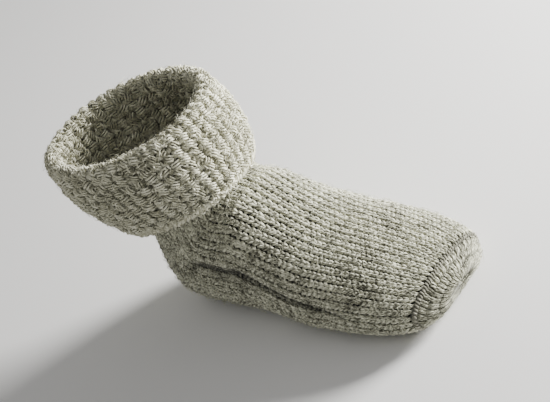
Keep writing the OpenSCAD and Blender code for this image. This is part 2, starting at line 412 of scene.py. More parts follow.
class Wales:
    """Spreads a fabric's wales evenly round a surface, wherever along it they are."""

    PLACES = 110
    TURNS = 360

    def __init__(self, surface: Surface, low: float, high: float, count: int, inset: float) -> None:
        """Measures the surface.

        Args:
            surface: The surface that is knitted.
            low: First place along it.
            high: Last place along it.
            count: Number of wales round it.
            inset: Depth at which the wales are even.
        """
        self.low, self.high, self.count = low, high, count
        self.angles = np.linspace(0.0, FULL_TURN, self.TURNS + 1)
        places = np.linspace(low, high, self.PLACES)
        points = surface(places[:, None], self.angles[None, :], np.full((1, 1), inset))
        steps = np.linalg.norm(np.diff(points, axis=1), axis=2)
        run = np.concatenate([np.zeros((self.PLACES, 1)), np.cumsum(steps, axis=1)], axis=1)
        self.girth = run[:, -1]
        self.share = run / run[:, -1:]
        even = np.linspace(0.0, 1.0, self.TURNS + 1)
        self.table = np.array([np.interp(even, row, self.angles) for row in self.share])

    def angle(self, place: Array, wale: Array) -> Array:
        """Returns the angles of wales.

        Args:
            place: Places along the surface.
            wale: Wales, which may lie between two and past a whole turn.

        Returns:
            Angles in degrees.
        """
        share = np.asarray(wale, float) / self.count
        whole = np.floor(share)
        column = (share - whole) * self.TURNS
        row = np.clip((np.asarray(place, float) - self.low) / (self.high - self.low), 0.0, 1.0)
        row = row * (self.PLACES - 1)
        i = np.minimum(row.astype(int), self.PLACES - 2)
        j = np.minimum(column.astype(int), self.TURNS - 1)
        u, v = row - i, column - j
        t = self.table
        near = lerp(t[i, j], t[i, j + 1], v)
        return lerp(near, lerp(t[i + 1, j], t[i + 1, j + 1], v), u) + whole * FULL_TURN

    def wale_at(self, place: float, angle: float) -> int:
        """Returns the nearest wale to an angle.

        Args:
            place: Place along the surface.
            angle: Angle in degrees, from 0 to 360.

        Returns:
            The wale's number.
        """
        row = int(round(np.clip((place - self.low) / (self.high - self.low), 0.0, 1.0)
                        * (self.PLACES - 1)))
        return int(round(float(np.interp(angle, self.angles, self.share[row])) * self.count))

    def width(self, place: Array) -> Array:
        """Returns the width of one wale at places along the surface."""
        places = np.linspace(self.low, self.high, self.PLACES)
        return np.interp(place, places, self.girth) / self.count


def even_places(surface: Surface, low: float, high: float, angle: float, count: int) -> Array:
    """Returns places along a surface that are evenly far apart.

    Args:
        surface: The surface.
        low: First place.
        high: Last place.
        angle: Angle that they are measured at.
        count: Number of gaps between them.

    Returns:
        The places, one more than the gaps.
    """
    dense = np.linspace(low, high, 400)
    points = surface(dense, np.full_like(dense, angle), np.zeros_like(dense))
    run = np.concatenate([[0.0], np.cumsum(np.linalg.norm(np.diff(points, axis=0), axis=1))])
    return np.interp(np.linspace(0.0, run[-1], count + 1), run, dense)


class Strands:
    """Lengths of yarn, collected and then made one mesh of closed tubes."""

    def __init__(self, sides: int = 6) -> None:
        """Starts with no yarn.

        Args:
            sides: Number of sides of its tubes, 4 or 6.
        """
        self.sides = sides
        self.paths: list[Array] = []
        self.radii: list[Array] = []
        self.depths: list[Array] = []
        self.shades: list[Array] = []
        self.closed: list[bool] = []

    def add(self, path: Array, radius: Any, depth: Any = 0.0, shade: Any = 0.5,
            closed: bool = False) -> None:
        """Adds one length of yarn, kept above the floor.

        Args:
            path: Its points in millimetres.
            radius: Its radius in millimetres, one for all points or one each.
            depth: How deep in the fabric it is, from 0 to 1, which the finishes turn into painted shade.
            shade: Its own tone, from 0 to 1.
            closed: Whether it joins up with its start.
        """
        count = len(path)
        radii = np.broadcast_to(np.asarray(radius, float), (count,)).copy()
        path[:, 2] = np.maximum(path[:, 2], radii)
        if not closed:
            radii[0] = radii[-1] = 0.0
        self.paths.append(path)
        self.radii.append(radii)
        self.depths.append(np.broadcast_to(np.asarray(depth, float), (count,)))
        self.shades.append(np.broadcast_to(np.asarray(shade, float), (count,)))
        self.closed.append(closed)

    def mesh(self, name: str) -> bpy.types.Mesh:
        """Returns the yarn as one mesh, with its Strand UV map and shade and depth attributes."""
        curve = bpy.data.curves.new(name, "CURVE")
        curve.dimensions = "3D"
        curve.bevel_depth = 1.0
        curve.bevel_resolution = self.sides // 2 - 2
        curve.twist_mode = "MINIMUM"
        for path, radii, closed in zip(self.paths, self.radii, self.closed):
            spline = curve.splines.new("POLY")
            spline.points.add(len(path) - 1)
            corners = np.ones((len(path), 4), np.float32)
            corners[:, :3] = path * MM
            spline.points.foreach_set("co", corners.ravel())
            spline.points.foreach_set("radius", (radii * MM).astype(np.float32))
            spline.use_cyclic_u = closed
        holder = bpy.data.objects.new(name, curve)
        bpy.context.scene.collection.objects.link(holder)
        mesh = bpy.data.meshes.new_from_object(holder)
        bpy.data.objects.remove(holder)
        bpy.data.curves.remove(curve)
        self._label(mesh)
        weld(mesh)
        return mesh

    def _label(self, mesh: bpy.types.Mesh) -> None:
        """Writes the yarn's lengths to its UV map in millimetres, and its shade and depth."""
        counts = [len(path) for path in self.paths]
        lengths = np.array([np.linalg.norm(np.diff(path, axis=0), axis=1).sum() for path in self.paths])
        around = np.array([2.0 * math.pi * radii.max() for radii in self.radii])
        owner = np.repeat(np.arange(len(counts)), np.array(counts) * self.sides)
        corner = np.zeros(len(mesh.loops), np.int32)
        mesh.loops.foreach_get("vertex_index", corner)
        layer = mesh.uv_layers[0]
        layer.name = STRAND_UV
        uv = np.zeros(len(mesh.loops) * 2, np.float32)
        layer.data.foreach_get("uv", uv)
        uv = uv.reshape(-1, 2)
        uv[:, 0] *= lengths[owner[corner]]
        uv[:, 1] *= around[owner[corner]]
        layer.data.foreach_set("uv", uv.ravel())
        for key, values in (("shade", self.shades), ("depth", self.depths)):
            attribute = mesh.attributes.new(key, "FLOAT", "POINT")
            spread = np.repeat(np.concatenate(values), self.sides).astype(np.float32)
            attribute.data.foreach_set("value", spread)


def weld(mesh: bpy.types.Mesh, distance: float = 1e-6) -> None:
    """Merges points that lie on each other and smooths the shading.

    Args:
        mesh: The mesh, which is changed.
        distance: How near merged points lie, in metres.
    """
    bm = bmesh.new()
    bm.from_mesh(mesh)
    bmesh.ops.remove_doubles(bm, verts=bm.verts, dist=distance)
    bmesh.ops.dissolve_degenerate(bm, edges=bm.edges, dist=distance / 10.0)
    for face in bm.faces:
        face.smooth = True
    bm.to_mesh(mesh)
    bm.free()


@dataclass(frozen=True)
class Gauge:
    """The size and shape of one stitch."""

    yarn: float                 # radius of the yarn, in millimetres
    loop: float = 0.80          # half height of a loop, in courses
    waist: float = 0.19         # how far a loop's legs lean, in wales
    groove: float = 0.045       # how far they draw together in their own wale, in wales
    travel: float = 1.8         # how far the yarn passes through the fabric, in millimetres
    purl: bool = False          # whether the loops' backs face out
    wobble: float = 0.05        # unevenness, in wales
    steps: int = 12             # points of the path in one stitch
    sink: float = 0.0           # depth of the whole fabric, in millimetres


FOOT_GAUGE = Gauge(yarn=1.15, waist=0.235, loop=0.83, groove=0.07, travel=2.0)
TOE_GAUGE = Gauge(yarn=1.2, loop=0.72, waist=0.14, groove=0.1, travel=2.4)
PILE_GAUGE = Gauge(yarn=1.7, loop=0.62, waist=0.12, groove=0.0, travel=1.2, purl=True, wobble=0.07,
                   steps=6, sink=2.0)


class Fabric:
    """Knits courses on a surface and adds what lies on it."""

    SIDE_WOBBLE = 0.8           # unevenness round the sock, as a share of that along it
    THICK_WOBBLE = 0.06         # unevenness of the yarn's radius, as a share of it
    DEPTH_WOBBLE = 0.14         # unevenness of its depth, in millimetres
    TONE_WOBBLE = 0.2           # unevenness of its tone
    SLIMMEST, WIDEST = 0.42, 1.12   # limits of a narrow or wide wale's yarn, as shares of the usual
    SHADOW = 0.85               # painted shade: how much darker the bottom of a crease is drawn
    LUMP_SINK = 1.7             # how much deeper the gaps between lumps are, in millimetres
    LOOSE_WOBBLE = 0.2          # unevenness of the depth of curls and coils, in millimetres
    FIBRE_YARN = 0.085          # radius of a loose fibre, in millimetres
    FIBRE_DEPTH = 0.6           # depth that loose fibres start at, in millimetres
    TWIST_STEPS = 10            # points of a twisted strand in one twist
    COIL_STEPS, CURL_STEPS, FIBRE_STEPS = 24, 8, 4      # points of one coil, curl and loose fibre
    COIL_TURNS = 3.4            # full turns of one coil
    COIL_SHIFT = 0.07           # unevenness of a coil's place, in stitches
    COIL_LEAN = 0.35            # usual lean of a coil, in radians
    COIL_SIZES = (0.85, 1.15)   # smallest and largest coil, as shares of the usual
    COIL_WOBBLE = 0.12          # unevenness of a coil's width, as a share of it
    CURL_LEAN = 0.9             # unevenness of a curl's lean, in radians
    CURL_SIZES = (0.7, 1.3)     # smallest and largest curl, as shares of the usual
    CURL_OPEN = (0.85, 1.25)    # how far round a curl goes, in half turns
    CURL_TILT = 0.45            # unevenness of a curl's tilt
    FIBRE_SIZES = (0.5, 1.4)    # shortest and longest loose fibre, as shares of the usual
    FIBRE_CURL = 0.5            # unevenness of its bend to the side
    FIBRE_RISE = (0.2, 0.6)     # least and most that it stands up
    FIBRE_TONE = 0.8

    def __init__(self, surface: Surface, wales: Wales, gauge: Gauge, seed: int) -> None:
        """Keeps what the fabric is knitted on and how.

        Args:
            surface: The surface that the fabric follows.
            wales: Its wales.
            gauge: Its stitches.
            seed: Seed of the fabric's own unevenness.
        """
        self.surface, self.wales, self.gauge = surface, wales, gauge
        self.rng = np.random.default_rng(seed)
        self.strands = Strands()
        self.fluff = Strands(4)
        self.shadow: Callable[[Array, Array], Any] = lambda spot, angle: 0.0
        self.width = float(np.mean(wales.girth)) / wales.count
        self.rows = 1

    @property
    def yarn(self) -> tuple[Strands, Strands]:
        """All of the fabric's yarn."""
        return self.strands, self.fluff

    def uneven(self, turns: Array, size: float) -> Array:
        """Returns soft random values along a course, one new value for each half stitch.

        Args:
            turns: The course's points, in wales.
            size: Usual size of the values.

        Returns:
            One value for each point.
        """
        knots = np.arange(np.floor(turns[0]) * 2 - 2, np.ceil(turns[-1]) * 2 + 3)
        values = self.rng.normal(0.0, size, len(knots))
        return np.interp(turns * 2.0, knots, values)

    def course(self, first: int, last: int, place: Callable[[Array, Array], Array],
               shear: float = 0.0) -> None:
        """Knits one course.

        Args:
            first: Wale that it starts at.
            last: Wale that it ends at, a whole turn later when the course is a ring.
            place: Gives places along the surface from wales and rises, counted in courses.
            shear: Lean of the stitches, in wales for each course.
        """
        if last <= first:
            return
        g = self.gauge
        ring = last - first == self.wales.count
        count = (last - first) * g.steps
        turns = first + np.arange(count if ring else count + 1) / g.steps
        phase = 2.0 * math.pi * turns
        fade = np.ones_like(turns)
        if not ring:
            fade = smooth(np.minimum(turns - first, last - turns) * 4.0)
        rise = -g.loop * np.cos(phase) + self.uneven(turns, g.wobble) * fade
        across = (turns + g.waist * np.sin(2.0 * phase) + g.groove * np.sin(phase)
                  + self.uneven(turns, g.wobble * self.SIDE_WOBBLE) * fade + shear * rise)
        # how far the yarn passes into the fabric: it places the yarn, and through the depth attribute
        # also darkens it as painted shade
        deep = 0.5 + 0.5 * np.cos(2.0 * phase)
        if g.purl:
            deep = 1.0 - deep
        spot = place(turns, rise)
        slim = np.clip(self.wales.width(spot) / self.width, self.SLIMMEST, self.WIDEST)
        radius = g.yarn * slim * (1.0 + self.uneven(turns, self.THICK_WOBBLE) * fade)
        inset = (g.sink + radius + g.travel * slim * deep
                 + self.uneven(turns, self.DEPTH_WOBBLE) * fade)
        angle = self.wales.angle(spot, across)
        points = self.surface(spot, angle, inset)
        shade = np.clip(0.5 + self.uneven(turns, self.TONE_WOBBLE), 0.0, 1.0)
        # painted shade along the crease, added to the depth that darkens the yarn
        deep = np.clip(deep + self.SHADOW * self.shadow(spot, angle), 0.0, 1.0)
        self.strands.add(points, radius, deep, shade, ring)

    def twisted_ring(self, place: float, spread: float, turns: int, radius: float,
                     swing: float, depth: float) -> None:
        """Lays two strands round the surface that twist about each other.

        Args:
            place: Place along the surface.
            spread: How far they swing along it, in its own measure.
            turns: Number of twists in the whole ring.
            radius: Radius of each strand, in millimetres.
            swing: How far they swing in and out, in millimetres.
            depth: Depth of their middle, in millimetres.
        """
        steps = turns * self.TWIST_STEPS
        wale = np.arange(steps) / steps * self.wales.count
        for start in (0.0, math.pi):
            phase = np.arange(steps) / self.TWIST_STEPS * 2.0 * math.pi + start
            spot = place + spread * np.sin(phase)
            inset = depth - swing * np.cos(phase)
            points = self.surface(spot, self.wales.angle(spot, wale), inset)
            # painted shade: each strand is drawn darker where it swings into the fabric
            self.strands.add(points, radius, 0.35 - 0.35 * np.cos(phase), 0.45, True)

    def frame_at(self, spot: Array, wale: Array, inset: Array) -> tuple[Array, Array, Array, Array]:
        """Returns points of the surface with its own directions there.

        Args:
            spot: Places along the surface.
            wale: Wales.
            inset: Depths below its outside, in millimetres.

        Returns:
            Points, and the directions round the surface, along it and out of it.
        """
        angle = self.wales.angle(spot, wale)
        step = (self.wales.high - self.wales.low) * 0.004
        at = self.surface(spot, angle, inset)
        round_it = self.surface(spot, angle + 0.5, inset) - self.surface(spot, angle - 0.5, inset)
        along = self.surface(spot + step, angle, inset) - self.surface(spot - step, angle, inset)
        round_it /= np.linalg.norm(round_it, axis=-1, keepdims=True) + 1e-9
        along /= np.linalg.norm(along, axis=-1, keepdims=True) + 1e-9
        out = np.cross(round_it, along)
        out /= np.linalg.norm(out, axis=-1, keepdims=True) + 1e-9
        return at, round_it, along, out

    def rows_at(self, spot: Array) -> Array:
        """Returns places along the surface counted in the fabric's rows of lumps."""
        return (spot - self.wales.low) / (self.wales.high - self.wales.low) * self.rows

    @staticmethod
    def leaning(along: Array, round_it: Array, lean: Array) -> tuple[Array, Array]:
        """Returns two directions in the surface, square to each other and turned by a lean."""
        return (along * np.cos(lean) + round_it * np.sin(lean),
                -along * np.sin(lean) + round_it * np.cos(lean))

    def scatter(self, steps: list[Array], radii: Array, deeps: list[Array], shades: Array) -> None:
        """Adds many short lengths of loose yarn.

        Args:
            steps: For each step along them, a point of every length.
            radii: The radius of every length, in millimetres.
            deeps: For each step, how deep every length is, which darkens it as painted shade.
            shades: The tone of every length.
        """
        for path, radius, depth, shade in zip(np.stack(steps, 1), radii, np.stack(deeps, 1), shades):
            self.fluff.add(path, radius, depth, shade)

    def curls(self, low: float, high: float, spacing: float, length: float, size: float,
              yarn: float, lift: float, turn_out: float = 1.0) -> None:
        """Scatters short curls of loose yarn over a band of the surface.

        Args:
            low: Where the band starts along the surface.
            high: Where it ends.
            spacing: Distance between curls, in millimetres.
            length: Distance across the band, in millimetres.
            size: Radius of a curl, in millimetres.
            yarn: Radius of its yarn, in millimetres.
            lift: Depth of its middle below the outside, in millimetres.
            turn_out: 1 where the surface's own directions point out of the fabric, else -1.
        """
        girth = float(self.wales.width((low + high) / 2.0)) * self.wales.count
        rows = max(1, round(length / spacing))
        columns = round(girth / spacing)
        row, column = np.meshgrid(np.arange(rows), np.arange(columns), indexing="ij")
        count = row.size
        jitter = self.rng.uniform(-0.5, 0.5, (2, count))
        spot = lerp(low, high, (row.ravel() + 0.5 + jitter[0]) / rows)
        wale = (column.ravel() + (row.ravel() % 2) * 0.5 + jitter[1]) / columns * self.wales.count
        swell = 0.5 + 0.5 * np.cos(2.0 * math.pi * wale) * np.sin(math.pi * self.rows_at(spot)) ** 2
        sunk = lift + (1.0 - swell) * self.LUMP_SINK * turn_out
        sunk = sunk + self.rng.normal(0, self.LOOSE_WOBBLE, count)
        middle, round_it, along, out = self.frame_at(spot, wale, sunk)
        out = out * turn_out
        lean = self.rng.normal(0.0, self.CURL_LEAN, count)[:, None]
        flat, side = self.leaning(along, round_it, lean)
        scale = size * self.rng.uniform(*self.CURL_SIZES, count)[:, None]
        open_to = self.rng.uniform(*self.CURL_OPEN, count)[:, None]
        tilt = self.rng.normal(0.0, self.CURL_TILT, count)[:, None]
        shade = self.rng.uniform(0.0, 1.0, count)
        paths, deeps = [], []
        for t in np.linspace(-0.2, 1.2, self.CURL_STEPS):
            turn = math.pi * t * open_to
            high_part = np.sin(turn)
            paths.append(middle + flat * (np.cos(turn) * scale) + out * (high_part * scale * 0.75)
                         + side * (t - 0.5) * scale * (0.8 + tilt) + side * high_part * tilt * scale)
            # painted shade: curls are drawn darker where they lie low and between the lumps
            deeps.append(np.clip(0.9 - high_part[:, 0] * 0.7 - swell * 0.5, 0.0, 1.0))
        self.scatter(paths, yarn * (0.75 + 0.5 * shade), deeps, shade)

    def coils(self, low: float, high: float, yarn: float, size: float, lift: float,
              turn_out: float = 1.0) -> None:
        """Lays one coil of loose yarn over every stitch of a band, so that each makes a lump.

        Args:
            low: Where the band starts along the surface.
            high: Where it ends.
            yarn: Radius of the yarn, in millimetres.
            size: Half the width of a lump, in millimetres.
            lift: Depth of a lump's middle below the outside, in millimetres.
            turn_out: 1 where the surface's own directions point out of the fabric, else -1.
        """
        row, column = np.meshgrid(np.arange(self.rows), np.arange(self.wales.count), indexing="ij")
        count = row.size
        spot = row.ravel() + 0.5 + self.rng.normal(0.0, self.COIL_SHIFT, count)
        spot = lerp(low, high, spot / self.rows)
        wale = column.ravel() + self.rng.normal(0.0, self.COIL_SHIFT, count)
        sunk = lift + self.rng.normal(0, self.LOOSE_WOBBLE, count)
        middle, round_it, along, out = self.frame_at(spot, wale, sunk)
        slim = np.clip(self.wales.width(spot) / self.width, 0.7, 1.1)[:, None]
        lean = self.rng.normal(self.COIL_LEAN, 0.3 + 0.35 * row.ravel() / self.rows)[:, None]
        axis, side = self.leaning(along, round_it, lean)
        bulge = self.rng.uniform(*self.COIL_SIZES, count)[:, None] * size * slim
        shade = self.rng.uniform(0.1, 0.9, count)
        start = self.rng.uniform(0.0, 2.0 * math.pi, count)[:, None]
        paths, deeps = [], []
        for t in np.linspace(-1.0, 1.0, self.COIL_STEPS):
            turn = start + t * self.COIL_TURNS * math.pi
            uneven = self.rng.normal(0.0, self.COIL_WOBBLE, (count, 1))
            wide = bulge * (math.sqrt(1.0 - 0.55 * t * t) + uneven)
            paths.append(middle + axis * (t * size * 1.05) + side * (np.cos(turn) * wide)
                         + out * turn_out * (np.sin(turn) * wide * 0.8))
            # painted shade: each coil is drawn darker where it turns under, and towards its ends
            deeps.append(np.clip(0.45 - 0.55 * np.sin(turn[:, 0]) + 0.25 * t * t, 0.0, 1.0))
        self.scatter(paths, yarn * (0.85 + 0.3 * shade), deeps, shade)

    def fuzz(self, low: float, high: float, first: float, last: float, count: int, reach: float,
             turn_out: float = 1.0) -> None:
        """Scatters loose fibres over a patch of the surface.

        Args:
            low: Where the patch starts along the surface.
            high: Where it ends.
            first: Wale that it starts at.
            last: Wale that it ends at.
            count: Number of fibres.
            reach: Their usual length, in millimetres.
            turn_out: 1 where the surface's own directions point out of the fabric, else -1.
        """
        spot = self.rng.uniform(low, high, count)
        wale = self.rng.uniform(first, last, count)
        at, round_it, along, out = self.frame_at(spot, wale, np.full(count, self.FIBRE_DEPTH))
        out = out * turn_out
        lean = self.rng.uniform(0.0, 2.0 * math.pi, count)[:, None]
        flat, side = self.leaning(along, round_it, lean)
        size = reach * self.rng.uniform(*self.FIBRE_SIZES, count)[:, None]
        curl = self.rng.normal(0.0, self.FIBRE_CURL, count)[:, None]
        rise = self.rng.uniform(*self.FIBRE_RISE, count)[:, None]
        steps = [at + size * (flat * t + side * curl * t * t + out * rise * (t * (1.6 - t)))
                 for t in np.linspace(0.0, 1.0, self.FIBRE_STEPS)]
        self.scatter(steps, np.full(count, self.FIBRE_YARN), [np.zeros(count)] * self.FIBRE_STEPS,
                     np.full(count, self.FIBRE_TONE))


def all_round(place: float) -> tuple[float, float]:
    """Returns the first and last angle of a fabric that goes all the way round."""
    return 0.0, FULL_TURN


BACKING_RUN = 30.0              # usual half length of a backing, in millimetres
BACKING_GIRTH = 64.8            # usual half girth of a backing, in millimetres


def backing(surface: Surface, low: float, high: float, edge: Callable[[float], tuple[float, float]],
            places: int, turns: int, inset: float, thickness: float, name: str) -> bpy.types.Mesh:
    """Returns the plain inner side of a fabric as a closed thin wall, in the dark inside finish as
    painted shade behind the gaps between stitches.

    Args:
        surface: The surface that it follows.
        low: Where it starts along the surface.
        high: Where it ends.
        edge: Gives its first and last angle at a place along the surface.
        places: Number of strips along it.
        turns: Number of strips round it.
        inset: Depth of its outer side, in millimetres.
        thickness: Its thickness, in millimetres.
        name: The mesh's name.

    Returns:
        The mesh.
    """
    bm = bmesh.new()
    uv = bm.loops.layers.uv.new(STRAND_UV)
    bmesh.ops.create_grid(bm, x_segments=turns, y_segments=places, size=1.0)
    for face in bm.faces:
        for loop in face.loops:
            loop[uv].uv = (loop.vert.co.y * BACKING_RUN, loop.vert.co.x * BACKING_GIRTH)
    across = np.array([v.co.x for v in bm.verts]) * 0.5 + 0.5
    places_at = lerp(low, high, np.array([v.co.y for v in bm.verts]) * 0.5 + 0.5)
    edges = np.array([edge(float(p)) for p in places_at])
    points = surface(places_at, lerp(edges[:, 0], edges[:, 1], across), np.full(len(across), inset))
    for vert, point in zip(bm.verts, points):
        vert.co = Vector(point * MM)
    bmesh.ops.remove_doubles(bm, verts=bm.verts, dist=1e-6)
    bmesh.ops.solidify(bm, geom=bm.faces[:], thickness=thickness * MM)
    bmesh.ops.recalc_face_normals(bm, faces=bm.faces)
    for face in bm.faces:
        face.smooth = True
        face.material_index = 1
    mesh = bpy.data.meshes.new(name)
    bm.to_mesh(mesh)
    bm.free()
    for key, value in (("shade", 0.3), ("depth", 1.0)):
        attribute = mesh.attributes.new(key, "FLOAT", "POINT")
        attribute.data.foreach_set("value", np.full(len(mesh.vertices), value, np.float32))
    return mesh


class Num:
    """A number in a material, a socket or a value, on which Python's operators add Math nodes."""

    def __init__(self, shader: "Shader", socket: Any) -> None:
        """Wraps a socket or a value."""
        self.shader, self.socket = shader, socket

    def _math(self, operation: str, *values: Any) -> "Num":
        """Returns the result of a Math node on the values."""
        node = self.shader.node("ShaderNodeMath", {"operation": operation}, dict(enumerate(values)))
        return Num(self.shader, node.outputs[0])

    def __add__(self, other: Any) -> "Num":
        """Returns self + other."""
        return self._math("ADD", self, other)

    def __radd__(self, other: Any) -> "Num":
        """Returns other + self."""
        return self._math("ADD", other, self)

    def __sub__(self, other: Any) -> "Num":
        """Returns self - other."""
        return self._math("SUBTRACT", self, other)

    def __rsub__(self, other: Any) -> "Num":
        """Returns other - self."""
        return self._math("SUBTRACT", other, self)

    def __mul__(self, other: Any) -> "Num":
        """Returns self * other."""
        return self._math("MULTIPLY", self, other)

    def __rmul__(self, other: Any) -> "Num":
        """Returns other * self."""
        return self._math("MULTIPLY", other, self)

    def sine(self) -> "Num":
        """Returns the sine of self."""
        return self._math("SINE", self)


class Shader:
    """A material's node tree, built one node at a time."""

    def __init__(self, name: str) -> None:
        """Starts a material with its surface shader and its output."""
        self.material = bpy.data.materials.new(name)
        self.material.use_nodes = True
        self.tree = self.material.node_tree
        self.tree.nodes.clear()
        self.surface = self.node("ShaderNodeBsdfPrincipled", {}, {})
        output = self.node("ShaderNodeOutputMaterial", {}, {})
        self.tree.links.new(self.surface.outputs["BSDF"], output.inputs["Surface"])

    def node(self, kind: str, settings: dict[str, Any], inputs: dict[Any, Any]) -> bpy.types.Node:
        """Adds a node.

        Args:
            kind: The node's type.
            settings: Its own settings, such as operation, or stops for a ramp.
            inputs: A value, Num or socket for each input, by name or number.

        Returns:
            The node.
        """
        node = self.tree.nodes.new(kind)
        for key, value in settings.items():
            if key == "stops":
                self._stops(node, value)
            else:
                setattr(node, key, value)
        for key, value in inputs.items():
            self.feed(node.inputs[key], value)
        return node

    def feed(self, socket: bpy.types.NodeSocket, value: Any) -> None:
        """Sets a socket to a value, or links it."""
        value = value.socket if isinstance(value, Num) else value
        if isinstance(value, bpy.types.NodeSocket):
            self.tree.links.new(value, socket)
        else:
            socket.default_value = value

    def _stops(self, ramp: bpy.types.Node, stops: Sequence[tuple[float, Sequence[float]]]) -> None:
        """Gives a colour ramp its stops."""
        elements = ramp.color_ramp.elements
        while len(elements) > 1:
            elements.remove(elements[-1])
        elements[0].position, elements[0].color = stops[0][0], (*stops[0][1], 1.0)
        for position, colour in stops[1:]:
            elements.new(position).color = (*colour, 1.0)

    def number(self, name: str) -> Num:
        """Returns one of the mesh's own numbers."""
        node = self.node("ShaderNodeAttribute", {"attribute_name": name}, {})
        return Num(self, node.outputs["Fac"])

    def strand(self) -> tuple[Num, Num]:
        """Returns the distances along and round the yarn, in millimetres."""
        strand = self.node("ShaderNodeUVMap", {"uv_map": STRAND_UV}, {}).outputs[0]
        split = self.node("ShaderNodeSeparateXYZ", {}, {"Vector": strand})
        return Num(self, split.outputs["X"]), Num(self, split.outputs["Y"])

    def noise(self, vector: Any, scale: float, detail: float = 2.0) -> Num:
        """Returns a noise pattern's value."""
        node = self.node("ShaderNodeTexNoise", {}, {"Vector": vector, "Scale": scale, "Detail": detail})
        return Num(self, node.outputs["Fac"])

    def vector(self, x: Any, y: Any, z: Any) -> bpy.types.NodeSocket:
        """Returns a vector of three numbers."""
        return self.node("ShaderNodeCombineXYZ", {}, {"X": x, "Y": y, "Z": z}).outputs[0]

    def dimmed(self, colour: Any, share: Num) -> bpy.types.NodeSocket:
        """Returns a colour multiplied by a number."""
        scaled = self.node("ShaderNodeVectorMath", {"operation": "SCALE"}, {0: colour, "Scale": share})
        return scaled.outputs["Vector"]

    def bump(self, height: Num, strength: float, distance: float, under: Any = None) -> Any:
        """Returns a normal that a height pattern roughens."""
        inputs = {"Height": height, "Strength": strength, "Distance": distance}
        if under is not None:
            inputs["Normal"] = under
        return self.node("ShaderNodeBump", {}, inputs).outputs["Normal"]


@dataclass(frozen=True)
class WoolFinish:
    """Heather wool yarn, spun from dark, grey and cream fibres."""

    name: str
    dark: tuple[float, float, float]
    middle: tuple[float, float, float]
    light: tuple[float, float, float]
    ply: float = 1.9            # length of one turn of the ply, in millimetres
    hollow_shade: float = 0.62        # painted shade: how much darker the yarn is drawn deep in the fabric
    contrast: float = 0.6       # how much the fibres differ in tone
    fibre_bump: float = 0.5     # strength of the fibres' relief

    PATCH_SCALE = 70.0          # patches of lighter and darker wool in one metre
    PATCH_SHARE = 0.42          # how much they change the tone
    STRAND_SHARE = 0.35         # how much one strand's tone differs from the next
    STOPS = (0.16, 0.44, 0.70)  # tones that are dark, middle and light

    def material(self) -> bpy.types.Material:
        """Returns the finish as a material."""
        shader = Shader(self.name)
        along, around = shader.strand()
        place = shader.node("ShaderNodeTexCoord", {}, {}).outputs["Object"]
        shade, depth = shader.number("shade"), shader.number("depth")
        twisted = along * 0.55 + around * 0.9
        crosswise = along * 0.5 - around * 0.35
        fibres = shader.noise(shader.vector(twisted * 2.6, crosswise * 0.8, shade * 40.0), 1.0, 3.0)
        flecks = shader.noise(shader.vector(twisted * 0.9, crosswise * 0.3, shade * 23.0), 1.0, 1.0)
        patches = shader.noise(place, self.PATCH_SCALE, 2.0)
        tone = (0.5 + (fibres - 0.5) * (self.contrast * 1.5) + (flecks - 0.5) * self.contrast
                + (patches - 0.5) * self.PATCH_SHARE + (shade - 0.5) * self.STRAND_SHARE)
        stops = list(zip(self.STOPS, (self.dark, self.middle, self.light)))
        ramp = shader.node("ShaderNodeValToRGB", {"stops": stops}, {"Fac": tone})
        # painted shade: the colour is darkened where the yarn lies deep, in creases, under curls and
        # coils
        colour = shader.dimmed(ramp.outputs["Color"], 1.0 - depth * self.hollow_shade)
        shader.feed(shader.surface.inputs["Base Color"], colour)
        twist = (twisted * (2.0 * math.pi / self.ply)).sine()
        rough = shader.bump(fibres, self.fibre_bump, 0.0005)
        relief = shader.bump(twist * 0.5 + 0.5, 0.45, 0.0004, rough)
        shader.feed(shader.surface.inputs["Normal"], relief)
        shader.feed(shader.surface.inputs["Roughness"], 0.78 + fibres * 0.2)
        shader.feed(shader.surface.inputs["Sheen Weight"], 0.25)
        shader.feed(shader.surface.inputs["Sheen Roughness"], 0.5)
        shader.feed(shader.surface.inputs["Specular IOR Level"], 0.25)
        return shader.material


@dataclass(frozen=True)
class InsideFinish:
    """The purl side of the knitting, as it shows inside the sock, in tones darker than the yarn's own as
    painted shade behind the stitches and inside.
    """

    name: str
    dark: tuple[float, float, float]
    light: tuple[float, float, float]

    def material(self) -> bpy.types.Material:
        """Returns the finish as a material."""
        shader = Shader(self.name)
        along, around = shader.strand()
        place = shader.node("ShaderNodeTexCoord", {}, {}).outputs["Object"]
        rows = (along * 1.7).sine()
        bumps = (around * 1.2 + rows * 0.6).sine()
        fibres = shader.noise(place, 900.0, 3.0)
        tone = 0.35 + rows * 0.12 + bumps * 0.1 + (fibres - 0.5) * 0.9
        ramp = shader.node("ShaderNodeValToRGB", {"stops": [(0.1, self.dark), (0.9, self.light)]},
                           {"Fac": tone})
        shader.feed(shader.surface.inputs["Base Color"], ramp.outputs["Color"])
        height = rows * bumps * 0.5 + fibres * 0.8
        shader.feed(shader.surface.inputs["Normal"], shader.bump(height, 0.7, 0.0012))
        shader.feed(shader.surface.inputs["Roughness"], 0.85 + fibres * 0.1)
        shader.feed(shader.surface.inputs["Sheen Weight"], 0.2)
        return shader.material


